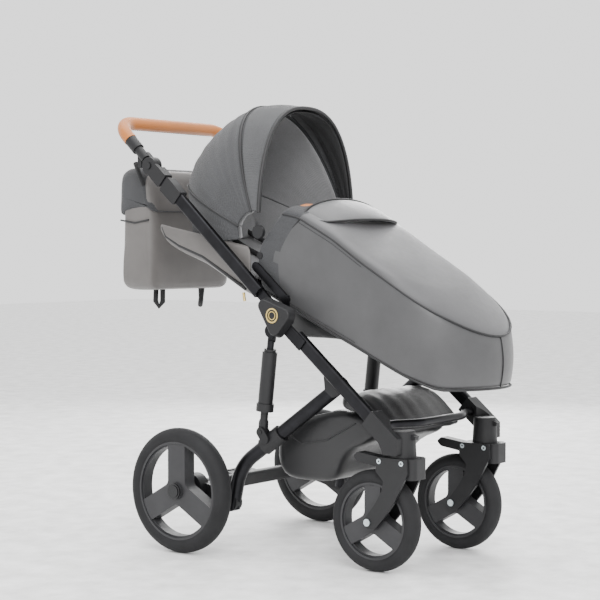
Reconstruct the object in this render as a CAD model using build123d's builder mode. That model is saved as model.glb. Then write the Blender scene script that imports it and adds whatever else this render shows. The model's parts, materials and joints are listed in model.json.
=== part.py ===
"""A baby stroller: folding chassis, sprung rear legs, swivelling front wheels, basket, seat, canopy and bag.

Millimetres, +Z up, the floor at Z = 0, travelling towards -Y. Heights and distances in the side outlines are
(y, z) pairs, with y measured backwards from the fold hubs, which sit at the row's Y = hub_y.
"""
from build123d import *
from math import atan2, cos, degrees, hypot, radians, sin
import os

os.makedirs("parts", exist_ok=True)

# Driving dimensions
hub_y = -46.75  # row Y of the fold hubs
hub_z = 549.0
frame_x = 200.0  # main tubes, from the middle plane
tube_wide = 20.0
tube_deep = 30.0
tube_corner = 7.0
tilt_y, tilt_z = 395.0, 903.0  # handle tilt joints
foot_y = -286.0  # front ends of the lower tubes
rear_r = 145.0
rear_rim_r = 114.0
rear_tyre_wide = 47.0
rear_axle_y = 242.0
front_r = 112.0
front_rim_r = 85.0
front_tyre_wide = 46.0
trail = 70.0  # how far the front axle lies behind its swivel
swivel_x, swivel_y = 169.0, -312.0
leg_d = 32.0
leg_pivot_y, leg_pivot_z = -136.0, 398.0
grip_d = 32.0
bow_y, bow_z = 513.0, 1013.0  # the middle of the handle bar
canopy_y, canopy_z = 80.0, 730.0  # canopy pivot
basket_half = 148.0
bag_half = 150.0

# Clearances
running = 0.05  # radial gap of a shaft in its bore
slip = 0.5  # between parts that slide or turn past each other
swept = 3.0  # between the folding tubes and everything they pass

# Derived
foot_z = front_r + 196.0
tube_in = frame_x - tube_wide / 2
tube_out = frame_x + tube_wide / 2
seat_half = tube_in - swept - 1.5
canopy_half = seat_half
upper_length = hypot(tilt_y, tilt_z - hub_z)
lower_length = hypot(foot_y, foot_z - hub_z)
upper_run = (tilt_y / upper_length, (tilt_z - hub_z) / upper_length)
lower_run = (foot_y / lower_length, (foot_z - hub_z) / lower_length)
axle_r = 6.0
leg_x = tube_out  # the rear end of each leg
brake_x = leg_x + 28.0
rear_x = brake_x + 7.0 + rear_tyre_wide / 2
SIDES = {"right": -1, "left": 1}


def side(x):
    """The plane across the stroller at x, whose sketch axes are (y behind the hubs, z)."""
    return Plane(origin=(x, hub_y, 0), x_dir=(0, 1, 0), z_dir=(1, 0, 0))


def at(x, y, z):
    """A point x from the middle, y behind the hubs and z above the floor."""
    return Vector(x, hub_y + y, z)


def span(hand, near, far):
    """The lower and upper X of a slab between two distances from the middle, on one hand."""
    return sorted((hand * near, hand * far))


def along(run, distance, across=0.0, start=None):
    """A (y, z) point on a tube line through the hub, and so far across it, upwards."""
    y0, z0 = start or (0.0, hub_z)
    return (y0 + run[0] * distance - run[1] * across, z0 + run[1] * distance + run[0] * across)


def slab(outline, low, high, soften=0.0, mode=Mode.ADD):
    """Add a plate with a side outline between two X positions, its corners rounded by soften."""
    with BuildSketch(side(low)) as face:
        Polygon(*outline, align=None)
        if soften:
            fillet(face.vertices(), soften)
    extrude(face.sketch, amount=high - low, mode=mode)


def disc(y, z, radius, low, high, mode=Mode.ADD):
    """Add or cut a round plate, boss or bore whose axis runs across the stroller."""
    with BuildSketch(side(low)) as face:
        with Locations((y, z)):
            Circle(radius)
    extrude(face.sketch, amount=high - low, mode=mode)


def ring(y, z, outer, inner, low, high, mode=Mode.ADD):
    """Add a round ring whose axis runs across the stroller."""
    with BuildSketch(side(low)) as face:
        with Locations((y, z)):
            Circle(outer)
            Circle(inner, mode=Mode.SUBTRACT)
    extrude(face.sketch, amount=high - low, mode=mode)


def link(first, second, half, low, high, mode=Mode.ADD):
    """Add a flat link with round ends between two (y, z) points."""
    run = (second[0] - first[0], second[1] - first[1])
    with BuildSketch(side(low)) as face:
        with Locations(((first[0] + second[0]) / 2, (first[1] + second[1]) / 2)):
            SlotCenterToCenter(hypot(*run), 2 * half, rotation=degrees(atan2(run[1], run[0])))
    extrude(face.sketch, amount=high - low, mode=mode)


def rod(start, end, radius, mode=Mode.ADD):
    """Add or cut a straight round bar between two points."""
    direction = end - start
    with BuildSketch(Plane(origin=start, z_dir=direction)) as face:
        Circle(radius)
    extrude(face.sketch, amount=direction.length, mode=mode)


def beam(x, run, first, last, wide, deep, corner, start=None, mode=Mode.ADD):
    """Add a straight rounded-rectangle tube along run between two distances from the hub."""
    y, z = along(run, first, start=start)
    with BuildSketch(Plane(origin=at(x, y, z), x_dir=(1, 0, 0), z_dir=(0, run[0], run[1]))) as face:
        RectangleRounded(wide, deep, corner)
    extrude(face.sketch, amount=last - first, mode=mode)


def bent(points, radii, radius):
    """Add a round bar along straight runs joined by arcs."""
    with BuildLine() as path:
        FilletPolyline(*points, radius=radii)
    wire = path.wires()[0]
    with BuildSketch(Plane(origin=wire @ 0, z_dir=wire % 0)) as face:
        Circle(radius)
    sweep(face.sketch, path=wire)


def keep(piece, name):
    """Label a finished piece and write it to its file."""
    piece.part.label = name
    export_step(piece.part, f"parts/{name}.step")


# Main tubes. The lower tube carries a knuckle plate, the upper tube turns on it.
knuckle_start = 85.0  # where the upper tube begins
lower_start = 62.0
pin_r = 6.0
inner_layer = (tube_in + 2.0, frame_x)  # the turning arm
strut_layer = (frame_x + 1.5, tube_out - 1.0)  # the strut's tongue
plate_layer = (tube_out + slip, tube_out + 4.0)  # the fixed hub plate
cover_layer = (plate_layer[1], plate_layer[1] + 21.0)
plate_end = 92.0
groove = 1.2


def groove_tube(x, run, first, last, face):
    """Cut three fine grooves along one deep face of a main tube."""
    for step in (-4.0, 0.0, 4.0):
        low = along(run, first, face * tube_deep / 2)
        centre = at(x + step, low[0], low[1])
        with BuildSketch(Plane(origin=centre, x_dir=(1, 0, 0), z_dir=(0, run[0], run[1]))) as slot:
            Rectangle(groove, 2 * groove)
        extrude(slot.sketch, amount=last - first, mode=Mode.SUBTRACT)


for name, hand in SIDES.items():
    x = hand * frame_x
    with BuildPart() as lower_tube:
        beam(x, lower_run, lower_start, lower_length, tube_wide, tube_deep, tube_corner)
        groove_tube(x, lower_run, lower_start + 20, lower_length - 40, -1)
    keep(lower_tube, f"lower_tube_{name}")

    with BuildPart() as upper_tube:
        beam(x, upper_run, knuckle_start, upper_length - 30, tube_wide, tube_deep, tube_corner)
        groove_tube(x, upper_run, knuckle_start + 10, upper_length - 45, 1)
        low, high = span(hand, *inner_layer)
        disc(0, hub_z, 26, low, high)
        slab([along(upper_run, d, w) for d, w in ((0, 12), (90, 12), (90, -12), (0, -12))], low, high)
        disc(0, hub_z, pin_r + running, low, high, Mode.SUBTRACT)
    keep(upper_tube, f"upper_tube_{name}")

strut_high = (20.0, 520.0)
with BuildPart() as hub_plates:
    for hand in SIDES.values():
        low, high = span(hand, *plate_layer)
        disc(0, hub_z, 34, low, high)
        slab([along(lower_run, d, w) for d, w in ((0, 14), (plate_end, 14), (plate_end, -14), (0, -14))], low, high)
        disc(*strut_high, 16, low, high)
        disc(0, hub_z, pin_r, *span(hand, inner_layer[0] - 2, plate_layer[1] - 1))
        disc(0, hub_z, pin_r + 4, *span(hand, inner_layer[0] - 4.5, inner_layer[0] - slip))
        disc(*strut_high, 5, *span(hand, strut_layer[0] + 0.2, plate_layer[1] - 1))
keep(hub_plates, "hub_plates")

# Rounded triangular covers, domed at the rim.
with BuildPart() as hub_covers:
    for hand in SIDES.values():
        with BuildSketch(side(hand * cover_layer[0])) as pick:
            Polygon((68, 612), (-66, 566), (-2, 492), align=None)
            fillet(pick.vertices(), 19)
        extrude(pick.sketch, amount=hand * (cover_layer[1] - cover_layer[0]), taper=14)
        fillet(hub_covers.faces().sort_by(Axis.X)[-1 if hand > 0 else 0].edges(), 4)
keep(hub_covers, "hub_covers")

with BuildPart() as hub_badges:
    for hand in SIDES.values():
        for outer, inner in ((17, 13.5), (10, 8)):
            ring(-2, 556, outer, inner, *span(hand, cover_layer[1], cover_layer[1] + 1.2))
keep(hub_badges, "hub_badges")

with BuildPart() as seat_adaptors:
    for hand in SIDES.values():
        disc(0, hub_z, 20, *span(hand, tube_in - 14, tube_in - 2.5))
        slab([(-9, 538), (9, 538), (9, 580), (-9, 580)], *span(hand, tube_in - 13, tube_in - 5), mode=Mode.SUBTRACT)
keep(seat_adaptors, "seat_adaptors")


# Front wheels: each fork swivels under a housing held by a bracket on the tube's end.
front_axle = (swivel_y + trail, front_r)
crown_top = front_r + 144.5
crown_low = front_r + 99.0
stem_r = 7.0
stem_top = crown_top + 38.0
housing_low = crown_top + slip
housing_top = housing_low + 58.0
fork_gap = front_tyre_wide / 2 + 4.5  # inner faces of the fork plates
fork_plate = 7.0
housing_r = 29.0


def front(back, up):
    """A (y, z) point from the swivel's axis and the front axle's height."""
    return (swivel_y + back, front_r + up)


def upright(x, radius, low, high, mode=Mode.ADD, taper=0):
    """Add or cut a round post on the swivel's axis."""
    with BuildSketch(Plane.XY.offset(low)) as face:
        with Locations((x, hub_y + swivel_y)):
            Circle(radius)
    extrude(face.sketch, amount=high - low, mode=mode, taper=taper)


def wheel_tyre(x, y, radius, seat_r, wide):
    """Add a tyre: a crowned tread and bulging walls around a flat seat."""
    half = wide / 2
    with BuildSketch(Plane(origin=at(x, y, radius), x_dir=(1, 0, 0), z_dir=(0, -1, 0))) as section:
        with BuildLine():
            Line((-half * 0.8, seat_r), (half * 0.8, seat_r))
            Spline((half * 0.8, seat_r), (half, (seat_r + radius) / 2), (half * 0.62, radius - 4), (0, radius),
                   (-half * 0.62, radius - 4), (-half, (seat_r + radius) / 2), (-half * 0.8, seat_r))
        make_face()
    revolve(section.sketch, axis=Axis(at(x, y, radius), (1, 0, 0)))


def wheel_rim(x, y, axle_z, rim_r, wide, spoke, hub_half):
    """Add a deep rim with three broad spokes, the first one upright, and its bored hub."""
    half = wide * 0.8 / 2
    low, high = x - half, x + half
    ring(y, axle_z, rim_r, rim_r - 5.0, low, high)
    ring(y, axle_z, rim_r - 4.0, rim_r - 9.0, x - half + 5, x + half - 5)
    with BuildSketch(side(x - half + 2)) as star:
        reach = rim_r - 6.0
        for turn in (90, 210, 330):
            middle = (y + reach / 2 * cos(radians(turn)), axle_z + reach / 2 * sin(radians(turn)))
            with Locations(middle):
                Rectangle(reach, spoke, rotation=turn)
        fillet(star.vertices().sort_by_distance((y, axle_z, 0))[:3], 16)
    extrude(star.sketch, amount=2 * half - 4)
    disc(y, axle_z, 20, x - hub_half, x + hub_half)
    disc(y, axle_z, axle_r + running, x - hub_half - 1, x + hub_half + 1, Mode.SUBTRACT)


for name, hand in SIDES.items():
    x = hand * swivel_x
    with BuildPart() as swivel_housing:
        upright(x, housing_r, housing_low, housing_top, taper=3)
        fillet(swivel_housing.faces().sort_by(Axis.Z)[-1].edges(), 3)
        tab = [front(-36, 192), front(-24, 196), front(-24, 184), front(-34, 184)]
        slab(tab, x - 7, x + 7)
        upright(x, stem_r + running, housing_low - 1, stem_top + 2, Mode.SUBTRACT)
    keep(swivel_housing, f"swivel_housing_{name}")

    with BuildPart() as fork:
        plate = [
            front(49, 144.5), front(-32, 144.5), front(-33, 112), front(-17, 83), front(1, 48),
            front(26, 15), front(50, -12), front(trail, -14), front(trail + 14, 0), front(trail, 18),
            front(50, 43), front(34, 70), front(29, 93), front(49, 113),
        ]
        for near, far in ((fork_gap, fork_gap + fork_plate), (-fork_gap - fork_plate, -fork_gap)):
            slab(plate, x + near, x + far, 4)
        with BuildSketch(Plane.XY.offset(crown_low)) as crown:
            with Locations((x, hub_y + swivel_y + 1)):
                RectangleRounded(2 * fork_gap, 94, 14)
        extrude(crown.sketch, amount=crown_top - crown_low)
        disc(*front_axle, front_r + 5, x - fork_gap, x + fork_gap, Mode.SUBTRACT)
        upright(x, stem_r, crown_top - 5, stem_top)
        disc(*front_axle, axle_r + 2.5, x - fork_gap, x - fork_gap + 2)
        disc(*front_axle, axle_r + 2.5, x + fork_gap - 2, x + fork_gap)
        disc(*front_axle, axle_r, x - fork_gap - fork_plate - 1, x + fork_gap + fork_plate + 1)
    keep(fork, f"fork_{name}")

    with BuildPart() as fork_rivets:
        for y, z in (front(-18, 135), front(40, 136)):
            for face in (-1, 1):
                out = x + face * (fork_gap + fork_plate)
                ring(y, z, 5.5, 2.2, *sorted((out, out + face * 1.4)))
        for face in (-1, 1):
            out = x + face * (fork_gap + fork_plate + 1)
            disc(*front_axle, 8, *sorted((out, out + face * 3)))
    keep(fork_rivets, f"fork_rivets_{name}")

    with BuildPart() as lock_lever:
        low, high = x - 14, x + 14
        paddle = [front(50, 141), front(112, 149), front(124, 139), front(112, 128), front(50, 119)]
        slab(paddle, low, high, 5)
    keep(lock_lever, f"lock_lever_{name}")

    with BuildPart() as front_tyre:
        wheel_tyre(x, front_axle[0], front_r, front_rim_r, front_tyre_wide)
    keep(front_tyre, f"front_tyre_{name}")
    with BuildPart() as front_rim:
        wheel_rim(x, front_axle[0], front_r, front_rim_r, front_tyre_wide, 42, fork_gap - 2.5)
    keep(front_rim, f"front_rim_{name}")

crossbar_y = -268.0
bar_z = hub_z + lower_run[1] / lower_run[0] * crossbar_y
bar_r = 9.0
with BuildPart() as tube_end_brackets:
    for hand in SIDES.values():
        shoe = [
            along(lower_run, lower_length - 52, 20), along(lower_run, lower_length + 6, 20),
            front(22, 152), front(-14, 152), front(-14, 188),
            along(lower_run, lower_length + 6, -20), along(lower_run, lower_length - 52, -20),
        ]
        slab(shoe, *span(hand, frame_x - 23, tube_out + 4), 3)
        beam(hand * frame_x, lower_run, lower_length - 80, lower_length + 0.2,
             tube_wide + 0.2, tube_deep + 0.2, tube_corner, mode=Mode.SUBTRACT)
        upright(hand * swivel_x, housing_r + 0.3, housing_low - 8, housing_top + 30, Mode.SUBTRACT)
        disc(crossbar_y, bar_z, bar_r + 0.15, *span(hand, 140, tube_in + 1), Mode.SUBTRACT)
keep(tube_end_brackets, "tube_end_brackets")

with BuildPart() as front_crossbar:
    bends = [at(w, y, bar_z) for w, y in ((-150, crossbar_y), (-88, crossbar_y - 32), (88, crossbar_y - 32),
                                          (150, crossbar_y))]
    bent([at(-tube_in, crossbar_y, bar_z), *bends, at(tube_in, crossbar_y, bar_z)], 60, bar_r)
keep(front_crossbar, "front_crossbar")


# Rear frame: legs on hangers, clamps for the struts, brackets, beam, brake.
corner_point = (rear_axle_y - 127, rear_r + 60)
leg_end_point = (rear_axle_y - 109, rear_r - 38)
leg_reach = hypot(corner_point[0] - leg_pivot_y, corner_point[1] - leg_pivot_z)
leg_run = ((corner_point[0] - leg_pivot_y) / leg_reach, (corner_point[1] - leg_pivot_z) / leg_reach)
leg_start_x = tube_in - 24.0
leg_splay = (leg_x - 5 - leg_start_x) / leg_reach
clamp_at = 211.0
strut_x = frame_x + 8.0
strut_low = along(leg_run, clamp_at, 25.0, start=(leg_pivot_y, leg_pivot_z))
strut_length = hypot(strut_high[0] - strut_low[0], strut_high[1] - strut_low[1])
strut_run = ((strut_high[0] - strut_low[0]) / strut_length, (strut_high[1] - strut_low[1]) / strut_length)
hinge_pin = 5.0


def on_leg(hand, distance):
    """A point on a leg's straight front run."""
    y, z = along(leg_run, distance, start=(leg_pivot_y, leg_pivot_z))
    return at(hand * (leg_start_x + leg_splay * distance), y, z)


def on_strut(hand, distance):
    """A point on a strut's axis, from its lower pin."""
    y, z = along(strut_run, distance, start=strut_low)
    return at(hand * strut_x, y, z)


for name, hand in SIDES.items():
    leg_end = at(hand * leg_x, *leg_end_point)
    leg_corner = at(hand * (leg_x - 5), *corner_point)
    with BuildPart() as rear_leg:
        bent([on_leg(hand, -20), leg_corner, leg_end], 110, leg_d / 2)
        disc(leg_pivot_y, leg_pivot_z, hinge_pin + running, *span(hand, tube_in - 60, tube_in), Mode.SUBTRACT)
    keep(rear_leg, f"rear_leg_{name}")

    with BuildPart() as leg_clamp:
        rod(on_leg(hand, clamp_at - 30), on_leg(hand, clamp_at + 26), leg_d / 2 + 4.5)
        foot = along(leg_run, clamp_at, 6.0, start=(leg_pivot_y, leg_pivot_z))
        for near in (strut_x - 10.5, strut_x + 6.5):
            link(foot, strut_low, 11, *span(hand, near, near + 4))
        disc(*strut_low, 12.5, *span(hand, strut_x - 6.5, strut_x + 6.5), Mode.SUBTRACT)
        rod(on_leg(hand, clamp_at - 60), on_leg(hand, clamp_at + 60), leg_d / 2 + 0.15, Mode.SUBTRACT)
        disc(*strut_low, hinge_pin, *span(hand, strut_x - 12, strut_x + 12))
    keep(leg_clamp, f"leg_clamp_{name}")

    with BuildPart() as strut_sleeve:
        link(strut_low, along(strut_run, 22, start=strut_low), 10, *span(hand, strut_x - 5.5, strut_x + 5.5))
        rod(on_strut(hand, 14), on_strut(hand, 50), 9)
        rod(on_strut(hand, 48), on_strut(hand, 66), 20)
        rod(on_strut(hand, 66), on_strut(hand, 184), 17)
        rod(on_strut(hand, 184), on_strut(hand, 191), 13.5)
        rod(on_strut(hand, 92), on_strut(hand, 192), 8.7, Mode.SUBTRACT)
        disc(*strut_low, hinge_pin + running, *span(hand, strut_x - 6, strut_x + 6), Mode.SUBTRACT)
    keep(strut_sleeve, f"strut_sleeve_{name}")

    with BuildPart() as strut_rod:
        rod(on_strut(hand, 108), on_strut(hand, strut_length - 22), 8)
        link(along(strut_run, strut_length - 20, start=strut_low), strut_high, 9, *span(hand, *strut_layer))
        disc(*strut_high, hinge_pin + running, *span(hand, strut_layer[0] - 1, strut_layer[1] + 1), Mode.SUBTRACT)
    keep(strut_rod, f"strut_rod_{name}")

    with BuildPart() as axle_bracket:
        low, high = span(hand, leg_x - 10, leg_x + 12)
        link((leg_end_point[0] + 2, leg_end_point[1] + 14), (rear_axle_y, rear_r), 21, low, high)
        disc(rear_axle_y, rear_r, 35, *span(hand, leg_x - 2, brake_x))
        disc(rear_axle_y, rear_r, axle_r + running, *span(hand, leg_x - 12, brake_x + 1), Mode.SUBTRACT)
        rod(leg_corner, leg_end + (leg_end - leg_corner) * 0.002, leg_d / 2 + 0.15, Mode.SUBTRACT)
    keep(axle_bracket, f"axle_bracket_{name}")

    with BuildPart() as rear_tyre:
        wheel_tyre(hand * rear_x, rear_axle_y, rear_r, rear_rim_r, rear_tyre_wide)
    keep(rear_tyre, f"rear_tyre_{name}")
    with BuildPart() as rear_rim:
        wheel_rim(hand * rear_x, rear_axle_y, rear_r, rear_rim_r, rear_tyre_wide, 52, 22)
    keep(rear_rim, f"rear_rim_{name}")

with BuildPart() as leg_hangers:
    for hand in SIDES.values():
        hanger = [
            along(lower_run, 158, -10), along(lower_run, 206, -10), (leg_pivot_y - 20, leg_pivot_z - 14),
            (leg_pivot_y, leg_pivot_z - 22), (leg_pivot_y + 20, leg_pivot_z - 8), along(lower_run, 158, 15),
        ]
        slab(hanger, *span(hand, tube_in - 4.4, tube_in), 4)
        disc(leg_pivot_y, leg_pivot_z, hinge_pin, *span(hand, tube_in - 46, tube_in - 1))
        disc(leg_pivot_y, leg_pivot_z, hinge_pin + 4, *span(hand, tube_in - 49, tube_in - 45))
keep(leg_hangers, "leg_hangers")

with BuildPart() as hub_caps:
    for hand in SIDES.values():
        inner = rear_x + 22 + slip
        disc(rear_axle_y, rear_r, 18, *span(hand, inner, inner + 4))
        disc(rear_axle_y, rear_r, 14, *span(hand, inner + 4, inner + 6))
keep(hub_caps, "hub_caps")

with BuildPart() as rear_axle:
    disc(rear_axle_y, rear_r, axle_r, -rear_x - 22 - slip, rear_x + 22 + slip)
keep(rear_axle, "rear_axle")

pedal_pivot = (rear_axle_y + 28, rear_r + 4)
with BuildPart() as rear_beam:
    with BuildSketch(side(-leg_x + 10)) as face:
        with Locations((rear_axle_y, rear_r)):
            RectangleRounded(27, 33, 8)
    extrude(face.sketch, amount=2 * leg_x - 20)
    for near in (-54, 48):
        link((rear_axle_y, rear_r), pedal_pivot, 8, near, near + 6)
    disc(rear_axle_y, rear_r, axle_r + running, -leg_x, leg_x, Mode.SUBTRACT)
    disc(*pedal_pivot, 4, -54, 54)
keep(rear_beam, "rear_beam")

with BuildPart() as brake_pedal:
    disc(*pedal_pivot, 8, -47, 47)
    tread = [
        (pedal_pivot[0], pedal_pivot[1] + 7), (pedal_pivot[0] + 38, pedal_pivot[1] + 12),
        (pedal_pivot[0] + 44, pedal_pivot[1] + 4), (pedal_pivot[0], pedal_pivot[1] - 7),
    ]
    slab(tread, -47, 47, 2)
    for rib in (-30, -15, 0, 15, 30):
        disc(pedal_pivot[0] + 26, pedal_pivot[1] + 9, 4, rib - 4, rib + 4)
    disc(*pedal_pivot, 4 + running, -50, 50, Mode.SUBTRACT)
keep(brake_pedal, "brake_pedal")


# Handle: sockets and collars on the upper tubes, tilting arms and the leather-covered bow.
tilt_pin = 6.0
boss_r = 21.0
tilt = (tilt_y, tilt_z)
arm_length = hypot(bow_y - tilt_y, bow_z - tilt_z)
arm_run = ((bow_y - tilt_y) / arm_length, (bow_z - tilt_z) / arm_length)
grip_start = 95.0
socket = (tube_in - 2.5, tube_out + 2.5)

with BuildPart() as tilt_sockets:
    for hand in SIDES.values():
        low, high = span(hand, *socket)
        shoulder = [along(upper_run, d, w) for d, w in ((upper_length - 58, 18), (upper_length - 22, 18),
                                                        (upper_length - 22, -18), (upper_length - 58, -18))]
        slab(shoulder, low, high, 4)
        link(along(upper_run, upper_length - 30), tilt, 17, *span(hand, frame_x + 1, socket[1]))
        disc(*tilt, boss_r, *span(hand, frame_x + 1, socket[1]))
        disc(*tilt, boss_r + 0.4, *span(hand, socket[0] - 1, frame_x + 1), Mode.SUBTRACT)
        beam(hand * frame_x, upper_run, upper_length - 90, upper_length - 29.8,
             tube_wide + 0.2, tube_deep + 0.2, tube_corner, mode=Mode.SUBTRACT)
        disc(*tilt, 8.5, *span(hand, frame_x + 5, socket[1] + 1), Mode.SUBTRACT)
        disc(*tilt, tilt_pin, *span(hand, socket[0] + 1, frame_x + 5))
keep(tilt_sockets, "tilt_sockets")

with BuildPart() as release_collars:
    for hand in SIDES.values():
        block = [along(upper_run, d, w) for d, w in ((upper_length - 122, 18), (upper_length - 64, 20),
                                                     (upper_length - 64, -20), (upper_length - 122, -18))]
        slab(block, *span(hand, *socket), 5)
        beam(hand * frame_x, upper_run, upper_length - 140, upper_length - 40,
             tube_wide + 0.6, tube_deep + 0.6, tube_corner, mode=Mode.SUBTRACT)
keep(release_collars, "release_collars")

for name, hand in SIDES.items():
    with BuildPart() as tilt_button:
        disc(*tilt, 8, *span(hand, frame_x + 9, socket[1] + 3))
    keep(tilt_button, f"tilt_button_{name}")

with BuildPart() as handle_arms:
    for hand in SIDES.values():
        disc(*tilt, boss_r, *span(hand, socket[0], frame_x + 0.5))
        link(tilt, along(arm_run, 34, start=tilt), 12, *span(hand, socket[0], frame_x + 0.5))
        rod(at(hand * frame_x, *along(arm_run, 25, start=tilt)),
            at(hand * frame_x, *along(arm_run, grip_start, start=tilt)), 11.5)
        rod(at(hand * frame_x, *along(arm_run, 60, start=tilt)),
            at(hand * frame_x, *along(arm_run, grip_start - 0.5, start=tilt)), 15)
        disc(*tilt, tilt_pin + running, *span(hand, socket[0] - 1, frame_x + 1), Mode.SUBTRACT)
        hook = along(arm_run, 52, start=tilt)
        link(hook, (hook[0], hook[1] - 34), 6, *span(hand, frame_x - 3, frame_x + 3))
keep(handle_arms, "handle_arms")

with BuildPart() as handle_grip:
    bow = [at(s * frame_x, *p) for s, p in ((-1, along(arm_run, grip_start, start=tilt)), (-1, (bow_y, bow_z)),
                                            (1, (bow_y, bow_z)), (1, along(arm_run, grip_start, start=tilt)))]
    bent(bow, 55, grip_d / 2)
keep(handle_grip, "handle_grip")


# Basket under the frame, open at its upper rear edge, with a padded lid over the front.
with BuildPart() as basket:
    outline = [(52, 300), (58, 215), (30, 176), (-110, 178), (-140, 250), (-235, 290), (-180, 335), (-120, 345)]
    hollow = [(70, 310), (44, 300), (50, 220), (26, 184), (-106, 186), (-136, 257), (-215, 290), (-180, 325),
              (-118, 337), (-40, 400), (70, 400)]
    slab(outline, -basket_half, basket_half, 8)
    slab(hollow, -basket_half + 6, basket_half - 6, 3, Mode.SUBTRACT)
keep(basket, "basket")

with BuildPart() as basket_lid:
    pad = [(-125, 349), (-183, 339), (-255, 292), (-262, 306), (-200, 372), (-130, 384)]
    slab(pad, -basket_half, basket_half, 5)
keep(basket_lid, "basket_lid")


# Seat: frame, pan, footmuff, flap, bumper, reclining shell with its pad, and the folding canopy.
muff_half = seat_half - 15.0
with BuildPart() as seat_frame:
    for hand in SIDES.values():
        slab([(-8, 541), (8, 541), (8, 600), (-8, 600)], *span(hand, tube_in - 12, tube_in - 6))
        link((0, 590), (88, 665), 10, *span(hand, tube_in - 12, tube_in - 6))
keep(seat_frame, "seat_frame")

with BuildPart() as seat_pan:
    pan = [(62, 600), (32, 502), (-118, 502), (-150, 494), (-160, 516), (-20, 578), (56, 622)]
    slab(pan, -150, 150, 5)
keep(seat_pan, "seat_pan")

with BuildPart() as footmuff:
    muff = [
        (82, 612), (96, 690), (44, 760), (-20, 800), (-115, 768), (-197, 708), (-303, 640), (-400, 577),
        (-460, 520), (-463, 470), (-436, 412), (-381, 398), (-171, 490), (-31, 552),
    ]
    slab(muff, -muff_half, muff_half, 8)
    inside = [
        (120, 640), (120, 830), (-40, 830), (-60, 770), (-110, 752), (-190, 694), (-296, 626), (-340, 597),
        (-340, 432), (-176, 506), (-165, 450), (0, 520), (84, 600),
    ]
    slab(inside, -muff_half + 14, muff_half - 14, 0, Mode.SUBTRACT)
    with BuildSketch(Plane.XY.offset(380)) as nose:
        with Locations((0, hub_y - 80)):
            Rectangle(2 * muff_half, 420)
        with Locations((0, hub_y - 290)):
            Circle(muff_half)
    extrude(nose.sketch, amount=460, mode=Mode.INTERSECT)
keep(footmuff, "footmuff")

with BuildPart() as footmuff_flap:
    slab([(-22, 806), (-20, 820), (-118, 790), (-116, 774)], -muff_half + 18, muff_half - 18, 2)
keep(footmuff_flap, "footmuff_flap")

with BuildPart() as bumper_bar:
    loop = [at(s * (muff_half - 28), *p) for s, p in ((-1, (60, 655)), (-1, (6, 796)), (1, (6, 796)), (1, (60, 655)))]
    bent(loop, 50, 13)
keep(bumper_bar, "bumper_bar")

shell_half = seat_half - 6.0
with BuildPart() as backrest_shell:
    tub = [(120, 590), (188, 626), (255, 664), (375, 708), (392, 730), (388, 762), (104, 712), (104, 620)]
    well = [(96, 628), (140, 622), (250, 682), (366, 722), (378, 736), (376, 800), (96, 760)]
    slab(tub, -shell_half, shell_half, 5)
    slab(well, -shell_half + 10, shell_half - 10, 0, Mode.SUBTRACT)
keep(backrest_shell, "backrest_shell")

with BuildPart() as seat_pad:
    slab([(134, 624), (250, 684), (362, 723), (356, 741), (246, 703), (130, 644)], -shell_half + 12, shell_half - 12, 3)
keep(seat_pad, "seat_pad")

canopy_centre = (150.0, 800.0)
canopy_r = 256.0
canopy_wall = 5.0


def canopy_sector(start, end, hole):
    """Add the part of the hood's shell between two angles back from upright, about its pivot."""
    for shrink, mode in ((0.0, Mode.ADD), (canopy_wall, Mode.SUBTRACT)):
        half = canopy_half - shrink
        radius = canopy_r - shrink
        curve = 150.0 - shrink
        with BuildSketch(Plane(origin=at(0, *canopy_centre), x_dir=(1, 0, 0), z_dir=(0, -1, 0))) as section:
            with BuildLine():
                Line((-half, 0), (half, 0))
                Line((half, 0), (half, radius - curve))
                RadiusArc((half, radius - curve), (half - curve, radius), -curve)
                Line((half - curve, radius), (curve - half, radius))
                RadiusArc((curve - half, radius), (-half, radius - curve), -curve)
                Line((-half, radius - curve), (-half, 0))
            make_face()
        revolve(section.sketch, axis=Axis(at(0, *canopy_centre), (1, 0, 0)), mode=mode)
    reach = 500.0
    edge = [(canopy_y + reach * sin(radians(a)), canopy_z + reach * cos(radians(a)))
            for a in (start, (start + end) / 2, end)]
    slab([(canopy_y, canopy_z), *edge], -reach, reach, 0, Mode.INTERSECT)
    disc(canopy_y, canopy_z, hole, -reach, reach, Mode.SUBTRACT)


with BuildPart() as canopy_front:
    canopy_sector(0, 20, 9)
    for hand in SIDES.values():
        disc(canopy_y, canopy_z, 12, *span(hand, canopy_half - 4, canopy_half))
        link((canopy_y, canopy_z), (canopy_y + 3, canopy_z + 40), 6, *span(hand, canopy_half - 4, canopy_half))
keep(canopy_front, "canopy_front")

with BuildPart() as canopy_mid:
    canopy_sector(20.4, 65.6, 30)
keep(canopy_mid, "canopy_mid")

with BuildPart() as canopy_rear:
    canopy_sector(66, 80, 30)
keep(canopy_rear, "canopy_rear")


# Changing bag, hung behind the seat.
with BuildPart() as bag:
    slab([(442, 612), (456, 600), (540, 600), (554, 616), (548, 880), (530, 900), (462, 900), (444, 884)],
         -bag_half, bag_half, 6)
    for hand in SIDES.values():
        slab([(462, 892), (480, 892), (472, 866), (462, 850)], *span(hand, bag_half - 4, bag_half + 12))
        slab([(478, 560), (488, 560), (492, 604), (476, 604)], *span(hand, 60, 90))
keep(bag, "bag")
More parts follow.
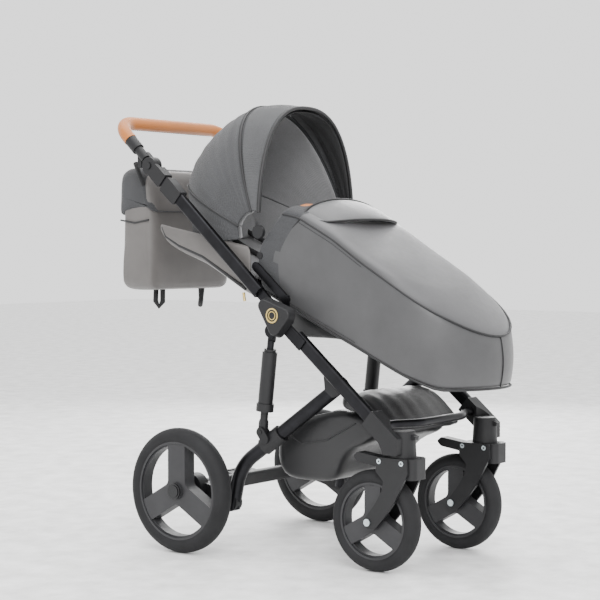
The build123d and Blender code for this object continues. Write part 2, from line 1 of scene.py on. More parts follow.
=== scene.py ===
"""The looks of a baby stroller: fabric, leather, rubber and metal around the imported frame, in metres."""
import json
import math
import bmesh
import bpy
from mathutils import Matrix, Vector


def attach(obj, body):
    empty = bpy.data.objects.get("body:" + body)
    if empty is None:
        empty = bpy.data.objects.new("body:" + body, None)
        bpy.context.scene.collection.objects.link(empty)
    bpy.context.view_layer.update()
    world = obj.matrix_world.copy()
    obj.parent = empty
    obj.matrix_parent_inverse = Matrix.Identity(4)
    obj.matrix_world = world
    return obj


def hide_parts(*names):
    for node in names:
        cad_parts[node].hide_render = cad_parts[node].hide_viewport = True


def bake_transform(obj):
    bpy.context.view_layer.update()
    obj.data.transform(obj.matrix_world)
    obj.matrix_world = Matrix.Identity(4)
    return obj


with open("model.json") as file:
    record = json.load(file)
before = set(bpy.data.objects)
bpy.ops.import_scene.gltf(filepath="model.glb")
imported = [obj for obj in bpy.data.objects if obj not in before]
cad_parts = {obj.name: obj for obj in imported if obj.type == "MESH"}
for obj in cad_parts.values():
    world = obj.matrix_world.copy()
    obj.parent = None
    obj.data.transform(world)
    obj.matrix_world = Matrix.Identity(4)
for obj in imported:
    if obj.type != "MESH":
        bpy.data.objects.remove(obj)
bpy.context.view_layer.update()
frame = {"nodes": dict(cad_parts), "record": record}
HUB = -0.04675  # the row's Y of the fold hubs; side outlines below are (distance behind the hubs, height)
CAMERA_PLACE = (-3.0421, -2.2545, 0.7193)
CAMERA_TURN, CAMERA_DIP = math.radians(-52.253), math.radians(2.04)
LENS, SENSOR = 96.6, 36
FLOOR_REACH = 12


def at(x, y, z):
    return (x, HUB + y, z)


def between(table, value):
    """A value read from a list of (place, value) pairs, in straight steps between them."""
    if value <= table[0][0]:
        return table[0][1]
    for (a, low), (b, high) in zip(table, table[1:]):
        if value <= b:
            return low + (high - low) * (value - a) / (b - a)
    return table[-1][1]


# Camera, lights and floor

def make_camera():
    data = bpy.data.cameras.new("camera")
    data.lens = LENS
    data.sensor_width = SENSOR
    camera = bpy.data.objects.new("camera", data)
    flat = math.cos(CAMERA_DIP)
    forward = Vector((-math.sin(CAMERA_TURN) * flat, math.cos(CAMERA_TURN) * flat, -math.sin(CAMERA_DIP)))
    camera.location = at(*CAMERA_PLACE)
    camera.rotation_euler = forward.to_track_quat("-Z", "Y").to_euler()
    bpy.context.collection.objects.link(camera)
    bpy.context.scene.camera = camera


def area_light(name, place, aim, size, power, colour=(1, 1, 1)):
    data = bpy.data.lights.new(name, "AREA")
    data.shape = "RECTANGLE"
    data.size, data.size_y = size
    data.energy = power
    data.color = colour
    lamp = bpy.data.objects.new(name, data)
    lamp.location = place
    lamp.rotation_euler = (Vector(aim) - Vector(place)).to_track_quat("-Z", "Y").to_euler()
    bpy.context.collection.objects.link(lamp)


# Materials

class Nodes:
    """A short way to write a material's node tree."""

    def __init__(self, name, colour, roughness, metallic=0.0):
        self.material = bpy.data.materials.new(name)
        self.material.use_nodes = True
        self.tree = self.material.node_tree
        self.shader = self.tree.nodes["Principled BSDF"]
        self.shader.inputs["Base Color"].default_value = (*colour, 1)
        self.shader.inputs["Roughness"].default_value = roughness
        self.shader.inputs["Metallic"].default_value = metallic
        self.place = self.add("ShaderNodeTexCoord").outputs["Object"]

    def add(self, kind, **values):
        node = self.tree.nodes.new(kind)
        for key, value in values.items():
            setattr(node, key, value)
        return node

    def join(self, source, target):
        self.tree.links.new(source, target)

    def noise(self, scale, detail=4.0, rough=0.6):
        node = self.add("ShaderNodeTexNoise")
        node.inputs["Scale"].default_value = scale
        node.inputs["Detail"].default_value = detail
        node.inputs["Roughness"].default_value = rough
        self.join(self.place, node.inputs["Vector"])
        return node.outputs["Fac"]

    def cells(self, scale):
        node = self.add("ShaderNodeTexVoronoi", feature="DISTANCE_TO_EDGE")
        node.inputs["Scale"].default_value = scale
        self.join(self.place, node.inputs["Vector"])
        return node.outputs["Distance"]

    def wave(self, scale, axis):
        node = self.add("ShaderNodeTexWave", bands_direction=axis)
        node.inputs["Scale"].default_value = scale
        node.inputs["Distortion"].default_value = 0.6
        node.inputs["Detail Scale"].default_value = 40
        self.join(self.place, node.inputs["Vector"])
        return node.outputs["Fac"]

    def maths(self, operation, first, second):
        node = self.add("ShaderNodeMath", operation=operation)
        for socket, value in zip(node.inputs, (first, second)):
            if isinstance(value, (int, float)):
                socket.default_value = value
            else:
                self.join(value, socket)
        return node.outputs[0]

    def tint(self, factor, low, high):
        ramp = self.add("ShaderNodeValToRGB")
        ramp.color_ramp.elements[0].color = (*low, 1)
        ramp.color_ramp.elements[1].color = (*high, 1)
        ramp.color_ramp.elements[0].position = 0.3
        ramp.color_ramp.elements[1].position = 0.7
        self.join(factor, ramp.inputs["Fac"])
        self.join(ramp.outputs["Color"], self.shader.inputs["Base Color"])

    def rough(self, factor, low, high):
        node = self.add("ShaderNodeMapRange")
        node.inputs["To Min"].default_value = low
        node.inputs["To Max"].default_value = high
        self.join(factor, node.inputs["Value"])
        self.join(node.outputs["Result"], self.shader.inputs["Roughness"])

    def bump(self, height, strength, distance):
        node = self.add("ShaderNodeBump")
        node.inputs["Strength"].default_value = strength
        node.inputs["Distance"].default_value = distance
        self.join(height, node.inputs["Height"])
        self.join(node.outputs["Normal"], self.shader.inputs["Normal"])


def shade(colour, by):
    return tuple(min(1.0, c * by) for c in colour)


def leather(name, colour, roughness=0.42, grain=420, sheen=0.15):
    m = Nodes(name, colour, roughness)
    pores = m.cells(grain)
    broad = m.noise(9, 5)
    m.tint(broad, shade(colour, 0.86), shade(colour, 1.14))
    m.rough(m.noise(60, 3), roughness - 0.08, roughness + 0.1)
    m.bump(m.maths("ADD", pores, m.maths("MULTIPLY", m.noise(25, 4), 0.6)), 0.28, 0.0009)
    m.shader.inputs["Sheen Weight"].default_value = sheen
    return m.material


def weave(name, colour, scale=230, contrast=0.35, sheen=0.35):
    m = Nodes(name, colour, 0.86)
    threads = m.maths("MULTIPLY", m.wave(scale, "X"), m.maths("ADD", m.wave(scale, "Z"), m.wave(scale, "Y")))
    flecks = m.noise(520, 2, 0.8)
    m.tint(m.maths("ADD", m.maths("MULTIPLY", flecks, 0.7), m.maths("MULTIPLY", m.noise(12, 4), 0.3)),
           shade(colour, 1 - contrast), shade(colour, 1 + contrast))
    m.bump(m.maths("ADD", threads, flecks), 0.45, 0.0008)
    m.shader.inputs["Sheen Weight"].default_value = sheen
    return m.material


def plastic(name, colour, roughness=0.5):
    m = Nodes(name, colour, roughness)
    m.tint(m.noise(14, 5), shade(colour, 0.85), shade(colour, 1.2))
    m.rough(m.noise(45, 5), roughness - 0.1, roughness + 0.12)
    m.bump(m.noise(900, 2), 0.18, 0.0004)
    m.shader.inputs["Specular IOR Level"].default_value = 0.35
    return m.material


def metal(name, colour, roughness=0.3):
    m = Nodes(name, colour, roughness, 0.85)
    m.tint(m.noise(30, 5), shade(colour, 0.8), shade(colour, 1.3))
    m.rough(m.noise(70, 6), roughness - 0.08, roughness + 0.12)
    m.bump(m.noise(1400, 2), 0.08, 0.0003)
    return m.material


def rubber(name, colour):
    m = Nodes(name, colour, 0.7)
    m.tint(m.noise(20, 6), shade(colour, 0.8), shade(colour, 1.35))
    m.rough(m.noise(80, 4), 0.6, 0.85)
    m.shader.inputs["Specular IOR Level"].default_value = 0.3
    m.bump(m.maths("ADD", m.noise(700, 3), m.maths("MULTIPLY", m.wave(70, "Y"), 0.25)), 0.3, 0.0008)
    return m.material


# Mesh helpers

def put(mesh_name, points, faces, material, smooth=True):
    mesh = bpy.data.meshes.new(mesh_name)
    mesh.from_pydata(points, [], faces)
    mesh.validate()
    for face in mesh.polygons:
        face.use_smooth = smooth
    mesh.materials.append(material)
    piece = bpy.data.objects.new(mesh_name, mesh)
    bpy.context.collection.objects.link(piece)
    return piece


def settle(piece):
    """Turn a piece's modifiers into its mesh."""
    bpy.context.view_layer.update()
    graph = bpy.context.evaluated_depsgraph_get()
    mesh = bpy.data.meshes.new_from_object(piece.evaluated_get(graph))
    piece.modifiers.clear()
    piece.data = mesh
    return piece


def soften(piece, levels=1, wall=0.0, inward=-1.0):
    if wall:
        shell = piece.modifiers.new("wall", "SOLIDIFY")
        shell.thickness = wall
        shell.offset = inward
    if levels:
        curve = piece.modifiers.new("smooth", "SUBSURF")
        curve.levels = curve.render_levels = levels
    return settle(piece)


def outward(piece):
    form = bmesh.new()
    form.from_mesh(piece.data)
    bmesh.ops.recalc_face_normals(form, faces=form.faces)
    form.to_mesh(piece.data)
    form.free()
    return piece


def grid_faces(rows, columns, closed=False):
    """Quads over rows of points, each row joined round if closed."""
    faces = []
    for r in range(rows - 1):
        for c in range(columns if closed else columns - 1):
            d = (c + 1) % columns
            faces.append((r * columns + c, r * columns + d, (r + 1) * columns + d, (r + 1) * columns + c))
    return faces


def rounded(outline, steps=2):
    """Cut an outline's corners, so that it reads as a soft shape."""
    for _ in range(steps):
        cut = []
        for (a, b), (c, d) in zip(outline, outline[1:] + outline[:1]):
            cut.append((a * 0.78 + c * 0.22, b * 0.78 + d * 0.22))
            cut.append((a * 0.22 + c * 0.78, b * 0.22 + d * 0.78))
        outline = cut
    return outline


def soft_block(name, outline, half, roll, material, bulge=0.004, across=22, pinch=0.0):
    """A sewn block: a side outline carried across the stroller, rolled over at both ends and crowned."""
    shape = rounded(outline)
    mid_y = sum(p[0] for p in shape) / len(shape)
    mid_z = sum(p[1] for p in shape) / len(shape)
    points = []
    rows = across + 1
    for row in range(rows):
        t = -math.cos(math.pi * row / across)
        x = half * t
        edge = max(0.0, (abs(x) - (half - roll)) / roll)
        shrink = roll * (1 - math.sqrt(max(0.0, 1 - edge * edge)))
        swell = bulge * (1 - t * t) - pinch * math.sin(3 * math.pi * t) ** 2
        for y, z in shape:
            reach = math.hypot(y - mid_y, z - mid_z)
            scale = (reach - shrink + swell) / reach
            points.append(at(x, mid_y + (y - mid_y) * scale, mid_z + (z - mid_z) * scale))
    count = len(shape)
    faces = grid_faces(rows, count, True)
    faces.append(tuple(range(count)))
    faces.append(tuple(reversed(range((rows - 1) * count, rows * count))))
    return outward(put(name, points, faces, material))


def tube(name, places, radius, material, closed=False):
    """A round cord or piping through points, as a mesh."""
    data = bpy.data.curves.new(name, "CURVE")
    data.dimensions = "3D"
    data.bevel_depth = radius
    data.bevel_resolution = 3
    data.use_fill_caps = True
    line = data.splines.new("POLY")
    line.points.add(len(places) - 1)
    for point, place in zip(line.points, places):
        point.co = (*place, 1)
    line.use_cyclic_u = closed
    data.materials.append(material)
    holder = bpy.data.objects.new(name + "_line", data)
    bpy.context.collection.objects.link(holder)
    bpy.context.view_layer.update()
    mesh = bpy.data.meshes.new_from_object(holder.evaluated_get(bpy.context.evaluated_depsgraph_get()))
    bpy.data.objects.remove(holder)
    for face in mesh.polygons:
        face.use_smooth = True
    piece = bpy.data.objects.new(name, mesh)
    bpy.context.collection.objects.link(piece)
    return piece


# The finishes

black_metal = metal("black_metal", (0.016, 0.016, 0.018), 0.3)
black_plastic = plastic("black_plastic", (0.009, 0.009, 0.010), 0.48)
rim_plastic = plastic("rim_plastic", (0.026, 0.026, 0.028), 0.46)
gloss = plastic("gloss_cap", (0.008, 0.008, 0.009), 0.2)
gold = metal("gold", (0.62, 0.47, 0.18), 0.3)
steel = metal("steel", (0.5, 0.56, 0.58), 0.25)
tyre = rubber("tyre", (0.010, 0.010, 0.011))
tan = leather("tan_leather", (0.42, 0.13, 0.016), 0.45, 520)
faux_black = leather("faux_black", (0.006, 0.006, 0.007), 0.38, 380, 0.05)
muff_side = leather("muff_side", (0.052, 0.052, 0.054), 0.4, 460, 0.08)
# The top copy is the same leather as muff_side, painted lighter: a painted highlight for the light falling on the
# top.
muff_top_painted_highlight = leather("muff_top_painted_highlight", (0.064, 0.064, 0.067), 0.34, 460, 0.1)
melange = weave("melange", (0.038, 0.039, 0.042), 240, 0.5, 0.12)
melange_light = weave("melange_light", (0.056, 0.057, 0.060), 240, 0.45, 0.12)
lining = weave("lining", (0.012, 0.012, 0.013), 200, 0.3, 0.05)
pad_fabric = weave("pad_fabric", (0.22, 0.22, 0.225), 260, 0.2, 0.1)
warm = leather("warm_faux", (0.105, 0.098, 0.094), 0.48, 430, 0.08)
piping = leather("piping", (0.007, 0.007, 0.008), 0.5, 700, 0.02)

FINISH = {
    "black_metal": black_metal, "black_plastic": black_plastic, "rim_plastic": rim_plastic, "cap_plastic": gloss,
    "gold": gold, "steel": steel, "tyre": tyre, "tan_leather": tan, "dark_leather": faux_black,
    "muff_leather": muff_side, "grey_fabric": melange, "light_fabric": pad_fabric, "warm_fabric": warm,
}


def finish_cad():
    """Give every CAD node its own finish."""
    for part in frame["record"]["subparts"]:
        node = frame["nodes"].get(part["node"])
        if node is None:
            continue
        for slot in node.material_slots:
            slot.material = FINISH[part["material_slot"]]


def fit(piece, body, replaces=None):
    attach(piece, body)
    if replaces:
        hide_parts(replaces)
    return piece


# Footmuff: a crowned cover with a rounded nose, walls down to a hem, and a collar band

MUFF_HALF = 0.163
COLLAR = 0.055
NOSE_Y = -0.290
BACK_EDGE = [(0.0, 0.024), (0.2, 0.060), (0.5, 0.094), (1.0, 0.084)]
SEAM = [(-0.47, 0.504), (-0.40, 0.552), (-0.303, 0.612), (-0.197, 0.674), (-0.115, 0.727), (-0.02, 0.776),
        (0.024, 0.784)]
HEM = [(-0.47, 0.402), (-0.381, 0.402), (-0.304, 0.434), (-0.171, 0.494), (-0.031, 0.556), (0.085, 0.612)]


def muff_point(u, v, t):
    """A point on the cover: u from the back to the nose, v across, t from the top seam down to the hem."""
    angle = v * math.pi / 2
    back = between(BACK_EDGE, t)
    tip = NOSE_Y - MUFF_HALF * math.cos(angle)
    y = back + (tip - back) * u
    x = MUFF_HALF * math.sin(angle)
    top, low = between(SEAM, y), between(HEM, y)
    return x, y, top + (low - top) * t


def build_footmuff():
    long, wide, deep = 26, 24, 7
    points, faces, index = [], [], {}

    def corner(u, v, t, lift=0.0, out=0.0):
        key = (round(u, 4), round(v, 4), round(t, 4))
        if key not in index:
            x, y, z = muff_point(u, v, t)
            push = math.sin(math.pi * t) * 0.007
            away = Vector((x, (y - NOSE_Y) if y < NOSE_Y else 0, 0))
            if away.length > 0 and 0 < t < 1:
                away.normalize()
                x, y = x + away.x * push, y + away.y * push
            index[key] = len(points)
            points.append(at(x, y, z + lift))
        return index[key]

    def crown(u, v):
        edge = (1 - v * v) * min(1.0, (1 - u) * 4.5)
        return 0.030 * edge ** 0.7 + 0.0018 * math.sin(17 * u + 5 * v) * edge

    us = [i / long for i in range(long + 1)]
    vs = [-1 + 2 * j / wide for j in range(wide + 1)]
    ts = [k / deep for k in range(deep + 1)]
    for t, lift in ((0.0, crown), (1.0, lambda u, v: 0.012 * (1 - v * v) * (1 - u))):
        for a, b in zip(us, us[1:]):
            for c, d in zip(vs, vs[1:]):
                quad = ((a, c), (b, c), (b, d), (a, d))
                faces.append(tuple(corner(*p, t, lift(*p)) for p in quad))
    rim = [(u, -1.0) for u in us] + [(1.0, v) for v in vs[1:]] + [(u, 1.0) for u in reversed(us[:-1])]
    for (a, c), (b, d) in zip(rim, rim[1:]):
        for s, t in zip(ts, ts[1:]):
            faces.append(tuple(corner(*p) for p in ((a, c, s), (b, d, s), (b, d, t), (a, c, t))))
    for s, t in zip(ts, ts[1:]):
        for c, d in zip(vs, vs[1:]):
            faces.append(tuple(corner(0.0, v, k) for v, k in ((c, s), (d, s), (d, t), (c, t))))
    muff = outward(put("footmuff_cover", points, faces, muff_side))
    # Slot 1 is the lighter top copy of the leather, a painted highlight.
    muff.data.materials.append(muff_top_painted_highlight)
    muff.data.materials.append(melange)
    for face in muff.data.polygons:
        y = face.center.y - HUB
        top, low = between(SEAM, y), between(HEM, y)
        fall = max(0.0, (top - face.center.z) / (top - low))
        # Faces on the crown get slot 1: painted highlight where light falls on the top of the cover.
        if fall == 0:
            face.material_index = 1
        if y > between(BACK_EDGE, fall) - COLLAR:
            face.material_index = 2
    soften(muff, 1)
    fit(muff, "seat", "footmuff")
    seam = [at(*muff_point(u, v, 0.0)) for u, v in rim]
    fit(tube("muff_seam", seam, 0.0024, piping), "seat")
    hem = [at(*muff_point(u, v, 1.0)) for u, v in rim]
    fit(tube("muff_hem", hem, 0.0028, piping), "seat")
    for side in (-1, 1):
        band = [at(*(Vector(muff_point(0.16 - 0.05 * t, side, t)) + Vector((side * 0.0012, 0, 0))))
                for t in (k / 12 for k in range(13))]
        fit(tube(f"collar_seam_{side + 1}", band, 0.0016, piping), "seat")
        snap = muff_point(0.02, side, 0.55)
        button = tube(f"snap_{side + 1}", [at(snap[0] + side * 0.001, snap[1], snap[2]),
                                           at(snap[0] + side * 0.009, snap[1], snap[2])], 0.008, black_plastic)
        fit(button, "seat")
    nose = [at(*(Vector(muff_point(1.0, 0.0, t)) + Vector((0, -0.0075 * math.sin(math.pi * t), 0))))
            for t in (k / 12 for k in range(13))]
    fit(tube("nose_seam", nose, 0.0014, piping), "seat")


def build_flap():
    """The folded end of the cover, a lens-shaped pad lying on top."""
    rows, columns = 14, 26
    points = []
    for face in (1, -1):
        for r in range(rows + 1):
            for c in range(columns + 1):
                v = -1 + 2 * c / columns
                u = r / rows
                front = -0.062 - 0.056 * math.sqrt(max(0.0, 1 - v * v))
                y = -0.026 + (front + 0.026) * u
                x = 0.148 * v
                edge = (1 - v ** 4) * math.sin(math.pi * u) ** 0.6 if 0 < u < 1 else 0.0
                base = between(SEAM, y) + 0.034 * (1 - v * v) ** 0.7 + 0.010
                points.append(at(x, y, base + face * 0.006 * edge + (0.003 if face > 0 else 0)))
    count = (rows + 1) * (columns + 1)
    top = grid_faces(rows + 1, columns + 1)
    faces = top + [tuple(reversed([i + count for i in f])) for f in top]
    ring = list(range(columns + 1)) + [r * (columns + 1) + columns for r in range(1, rows + 1)]
    ring += [rows * (columns + 1) + c for c in range(columns - 1, -1, -1)]
    ring += [r * (columns + 1) for r in range(rows - 1, 0, -1)]
    for a, b in zip(ring, ring[1:] + ring[:1]):
        faces.append((a, b, b + count, a + count))
    # The pad takes the lighter top copy of the muff leather: painted highlight for light falling on its top face.
    flap = soften(outward(put("flap_pad", points, faces, muff_top_painted_highlight)), 1)
    fit(flap, "seat", "footmuff_flap")
    line = [Vector(points[i]) + Vector((0, 0, 0.001)) for i in ring]
    fit(tube("flap_piping", [tuple(p) for p in line], 0.0026, piping, True), "seat")


# Canopy: three spans of one hood

PIVOT_Y, PIVOT_Z = 0.080, 0.730
HOOD_HALF = 0.184
HOOD = [(-2, 0.306), (0, 0.308), (10, 0.324), (20, 0.337), (32, 0.350), (45, 0.359), (57, 0.359), (66, 0.349),
        (77, 0.320), (86, 0.306), (96, 0.296)]


def hood_point(angle, along, inset=0.0):
    """A point on the hood: angle back from upright in degrees, along from one side over to the other."""
    reach = between(HOOD, angle) - inset
    half = HOOD_HALF - inset
    turn = math.pi * along
    power = 0.80
    x = -half * math.copysign(abs(math.cos(turn)) ** power, math.cos(turn))
    h = reach * max(0.0, math.sin(turn)) ** power
    lean = math.radians(angle)
    return x, PIVOT_Y + h * math.sin(lean), PIVOT_Z + h * math.cos(lean)


def hood_span(name, first, last, material, steps, sag=0.0, inset=0.0, wall=0.003):
    points = []
    columns = 40
    for r in range(steps + 1):
        angle = first + (last - first) * r / steps
        for c in range(columns + 1):
            along = 0.04 + 0.92 * c / columns
            dip = sag * math.sin(math.pi * r / steps) * math.sin(math.pi * along)
            fold = 0.0016 * sag / 0.006 * math.sin(9 * angle / 10 + 14 * along) if sag else 0.0
            points.append(at(*hood_point(angle, along, inset + dip + fold)))
    return soften(put(name, points, grid_faces(steps + 1, columns + 1), material), 1, wall)


def hood_line(angle, out=0.0):
    return [at(*hood_point(angle, 0.04 + 0.92 * k / 48, -out)) for k in range(49)]


def build_canopy():
    front = hood_span("canopy_front_panel", 0, 20, melange_light, 8)
    fit(front, "canopy", "canopy_front")
    fit(tube("canopy_rim_piping", hood_line(0), 0.0045, piping), "canopy")
    fit(tube("canopy_seam_piping", hood_line(20), 0.0028, piping), "canopy")
    strip = hood_span("canopy_rim_lining", 0.5, 15, lining, 10, 0.006, 0.008, 0.002)
    fit(strip, "canopy")
    mid = hood_span("canopy_mid_fabric", 20, 66, melange, 18, 0.006)
    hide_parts("canopy_mid")
    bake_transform(mid)
    inside = hood_span("canopy_mid_lining", 20, 66, pad_fabric, 12, 0.004, 0.012, 0.002)
    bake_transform(inside)
    back_lining = hood_span("canopy_rear_lining", 66, 91, pad_fabric, 8, 0.002, 0.011, 0.002)
    fit(back_lining, "backrest")
    rear = hood_span("canopy_rear_fabric", 66, 93, melange, 10, 0.003)
    fit(rear, "backrest", "canopy_rear")
    fit(tube("canopy_rear_piping", hood_line(66), 0.0022, piping), "backrest")
    for side in (-1, 1):
        hub = tube(f"canopy_hinge_{side + 1}", [at(side * 0.177, PIVOT_Y, PIVOT_Z + 0.014),
                                                at(side * 0.186, PIVOT_Y, PIVOT_Z + 0.014)], 0.016, black_plastic)
        fit(hub, "canopy")


# Backrest shell, seat pad, harness

TUB_LOW = [(0.108, 0.594), (0.125, 0.590), (0.188, 0.626), (0.255, 0.664), (0.330, 0.690), (0.372, 0.712),
           (0.388, 0.742)]


def build_shell():
    half, columns = 0.178, 36
    points = []
    places = [0.108, 0.125, 0.15, 0.188, 0.22, 0.255, 0.29, 0.33, 0.355, 0.372, 0.384, 0.389]
    for y in places:
        top = 0.712 + (y - 0.104) * 0.185
        low = between(TUB_LOW, y)
        for c in range(columns + 1):
            turn = math.pi * c / columns
            x = -half * math.copysign(abs(math.cos(turn)) ** 0.28, math.cos(turn))
            drop = abs(math.sin(turn)) ** 0.28
            points.append(at(x, y, top + (low - top) * drop))
    tub = put("shell_tub", points, grid_faces(len(places), columns + 1), warm)
    soften(tub, 1, 0.006, 1.0)
    fit(outward(tub), "backrest", "backrest_shell")
    for side in (-1, 1):
        zip_line = [at(side * (half - 0.004), y, between(TUB_LOW, y) + 0.022) for y in places[1:-1]]
        fit(tube(f"zip_{side + 1}", zip_line, 0.0042, piping), "backrest")
        pull = tube(f"zip_pull_{side + 1}", [at(side * 0.180, 0.126, 0.604), at(side * 0.181, 0.122, 0.584)],
                    0.0034, gold)
        fit(pull, "backrest")


def build_pad():
    pad = soft_block("seat_pad_cover", [(0.132, 0.626), (0.250, 0.688), (0.360, 0.728), (0.352, 0.746),
                                        (0.244, 0.708), (0.128, 0.648)], 0.160, 0.012, pad_fabric, 0.003, 40, 0.004)
    fit(pad, "backrest", "seat_pad")
    back = soft_block("head_cushion", [(0.298, 0.728), (0.330, 0.740), (0.336, 0.790), (0.322, 0.800),
                                       (0.304, 0.770)], 0.100, 0.03, pad_fabric, 0.004, 30, 0.002)
    fit(back, "backrest")
    for side in (-1, 1):
        strap = [at(side * 0.045, 0.345, 0.78), at(side * 0.05, 0.30, 0.745), at(side * 0.055, 0.22, 0.706),
                 at(side * 0.03, 0.16, 0.672)]
        fit(tube(f"harness_strap_{side + 1}", strap, 0.006, lining), "backrest")
    fit(soft_block("harness_buckle", [(0.145, 0.655), (0.175, 0.668), (0.170, 0.688), (0.140, 0.675)], 0.026, 0.008,
                   black_plastic), "backrest")


# Pan, basket and lid

def build_under():
    pan = soft_block("pan_cover", [(0.058, 0.600), (0.030, 0.504), (-0.116, 0.504), (-0.146, 0.498),
                                   (-0.156, 0.514), (-0.02, 0.574), (0.052, 0.616)], 0.149, 0.012, faux_black, 0.0)
    fit(pan, "seat", "seat_pan")
    outer = soft_block("basket_body", [(0.054, 0.300), (0.060, 0.214), (0.030, 0.175), (-0.112, 0.178),
                                       (-0.142, 0.250), (-0.236, 0.290), (-0.182, 0.336), (-0.10, 0.348)],
                       0.149, 0.022, faux_black, 0.0)
    inner = soft_block("basket_space", [(0.062, 0.420), (0.048, 0.300), (0.050, 0.220), (0.026, 0.186),
                                        (-0.104, 0.188), (-0.132, 0.258), (-0.110, 0.325), (-0.09, 0.420)],
                       0.140, 0.02, faux_black, 0.0)
    cut = outer.modifiers.new("space", "BOOLEAN")
    cut.operation = "DIFFERENCE"
    cut.object = inner
    settle(outer)
    bpy.data.objects.remove(inner)
    fit(outer, "chassis", "basket")
    lid = soft_block("basket_top", [(-0.123, 0.350), (-0.183, 0.340), (-0.255, 0.294), (-0.262, 0.306),
                                    (-0.200, 0.372), (-0.130, 0.386)], 0.150, 0.02, faux_black, 0.004, 30, 0.002)
    fit(lid, "chassis", "basket_lid")
    for side in (-1, 1):
        seam = [at(side * 0.147, 0.040, 0.290), at(side * 0.150, -0.02, 0.262), at(side * 0.150, -0.09, 0.275),
                at(side * 0.149, -0.17, 0.318)]
        fit(tube(f"basket_seam_{side + 1}", seam, 0.002, piping), "chassis")


# Bag with its straps and loops

def build_bag():
    bag = soft_block("bag_body", [(0.444, 0.612), (0.456, 0.602), (0.540, 0.602), (0.553, 0.616), (0.547, 0.880),
                                  (0.530, 0.899), (0.462, 0.899), (0.446, 0.884)], 0.149, 0.03, warm, 0.0, 26)
    fit(bag, "bag", "bag")
    cover = soft_block("bag_flap", [(0.438, 0.800), (0.447, 0.792), (0.452, 0.880), (0.470, 0.902), (0.530, 0.905),
                                    (0.556, 0.885), (0.558, 0.790), (0.550, 0.786)], 0.152, 0.024, melange, 0.0, 26)
    fit(cover, "bag")
    for side in (-1, 1):
        x = side * 0.151
        pocket = [at(x, 0.452, 0.775), at(x, 0.500, 0.768), at(x, 0.546, 0.775)]
        fit(tube(f"pocket_piping_{side + 1}", pocket, 0.0022, piping), "bag")
        strap = [at(side * 0.150, 0.470, 0.862), at(side * 0.168, 0.466, 0.886), at(side * 0.190, 0.458, 0.912)]
        fit(tube(f"hang_strap_{side + 1}", strap, 0.006, lining), "bag")
        loop = [at(side * 0.075, 0.476, 0.606), at(side * 0.072, 0.479, 0.572), at(side * 0.078, 0.486, 0.560),
                at(side * 0.086, 0.490, 0.574), at(side * 0.084, 0.490, 0.606)]
        fit(tube(f"web_loop_{side + 1}", loop, 0.0065, lining), "bag")


# Stitches, set out along a line by Geometry Nodes

def stitch_tree(name, material):
    """Short round threads set along a curve, each turned to follow it."""
    tree = bpy.data.node_groups.new(name, "GeometryNodeTree")
    tree.interface.new_socket("Geometry", in_out="INPUT", socket_type="NodeSocketGeometry")
    for size in ("Spacing", "Length", "Radius"):
        tree.interface.new_socket(size, in_out="INPUT", socket_type="NodeSocketFloat")
    tree.interface.new_socket("Geometry", in_out="OUTPUT", socket_type="NodeSocketGeometry")
    make, join = tree.nodes.new, tree.links.new
    entry, leave = make("NodeGroupInput"), make("NodeGroupOutput")
    line, spaced = make("GeometryNodeMeshToCurve"), make("GeometryNodeResampleCurve")
    spaced.mode = "LENGTH"
    tangent, turn = make("GeometryNodeInputTangent"), make("FunctionNodeAlignRotationToVector")
    turn.axis = "Z"
    thread, row = make("GeometryNodeMeshCylinder"), make("GeometryNodeInstanceOnPoints")
    thread.inputs["Vertices"].default_value = 6
    real, finish = make("GeometryNodeRealizeInstances"), make("GeometryNodeSetMaterial")
    finish.inputs["Material"].default_value = material
    join(entry.outputs["Geometry"], line.inputs["Mesh"])
    join(line.outputs["Curve"], spaced.inputs["Curve"])
    join(entry.outputs["Spacing"], spaced.inputs["Length"])
    join(entry.outputs["Length"], thread.inputs["Depth"])
    join(entry.outputs["Radius"], thread.inputs["Radius"])
    join(tangent.outputs["Tangent"], turn.inputs["Vector"])
    join(spaced.outputs["Curve"], row.inputs["Points"])
    join(thread.outputs["Mesh"], row.inputs["Instance"])
    join(turn.outputs["Rotation"], row.inputs["Rotation"])
    join(row.outputs["Instances"], real.inputs["Geometry"])
    join(real.outputs["Geometry"], finish.inputs["Geometry"])
    join(finish.outputs["Geometry"], leave.inputs["Geometry"])
    return tree


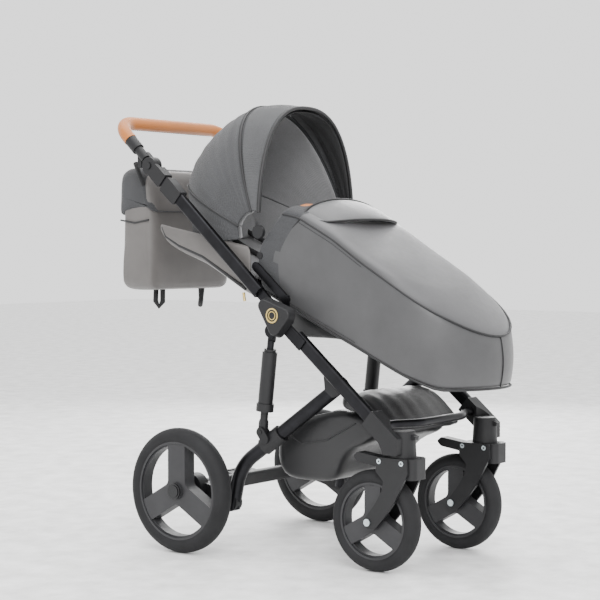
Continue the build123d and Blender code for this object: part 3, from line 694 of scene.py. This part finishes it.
def stitch_row(name, places, body, material, sizes=(0.0065, 0.0042, 0.0007)):
    mesh = bpy.data.meshes.new(name)
    mesh.from_pydata(places, [(k, k + 1) for k in range(len(places) - 1)], [])
    row = bpy.data.objects.new(name, mesh)
    bpy.context.collection.objects.link(row)
    tree = stitch_tree(name + "_rule", material)
    setter = row.modifiers.new("stitches", "NODES")
    setter.node_group = tree
    inputs = {item.name: item.identifier for item in tree.interface.items_tree if item.in_out == "INPUT"}
    for label, size in zip(("Spacing", "Length", "Radius"), sizes):
        setter[inputs[label]] = size
    fit(settle(row), body)


def build_stitches():
    stitch_row("grip_stitches", [at(x, 0.513, 0.9968) for x in (-0.145, 0, 0.145)], "handle", piping)
    for side in (-1, 1):
        for drop, label in ((0.045, "upper"), (0.955, "lower")):
            path = []
            for k in range(40):
                x, y, z = muff_point(0.16 + 0.54 * k / 39, side * 0.999, drop)
                path.append(at(x + side * (0.007 * math.sin(math.pi * drop) + 0.0006), y, z))
            stitch_row(f"muff_stitches_{label}_{side + 1}", path, "seat", piping)
    for angle in (1.3, 18.6, 21.4):
        stitch_row(f"canopy_stitches_{int(angle)}", hood_line(angle, 0.0006), "canopy", piping)


make_camera()
area_light("key", (-2.6, -2.2, 2.6), (0, 0, 0.5), (1.6, 1.6), 110)
area_light("top", (0.2, 0.4, 3.0), (0, 0, 0.4), (2.6, 2.6), 70)
area_light("rim", (2.6, 1.6, 1.6), (0, 0, 0.6), (1.2, 2.0), 60)
world = bpy.data.worlds.new("studio")
world.use_nodes = True
world.node_tree.nodes["Background"].inputs["Color"].default_value = (1, 1, 1, 1)
world.node_tree.nodes["Background"].inputs["Strength"].default_value = 1.7
bpy.context.scene.world = world
floor_corners = [(x * FLOOR_REACH, y * FLOOR_REACH, 0) for x, y in ((-1, -1), (1, -1), (1, 1), (-1, 1))]
floor = put("floor", floor_corners, [(0, 1, 2, 3)], plastic("studio_floor", (0.86, 0.86, 0.85), 0.55), False)

finish_cad()
build_footmuff()
build_flap()
build_canopy()
build_shell()
build_pad()
build_under()
build_bag()
build_stitches()
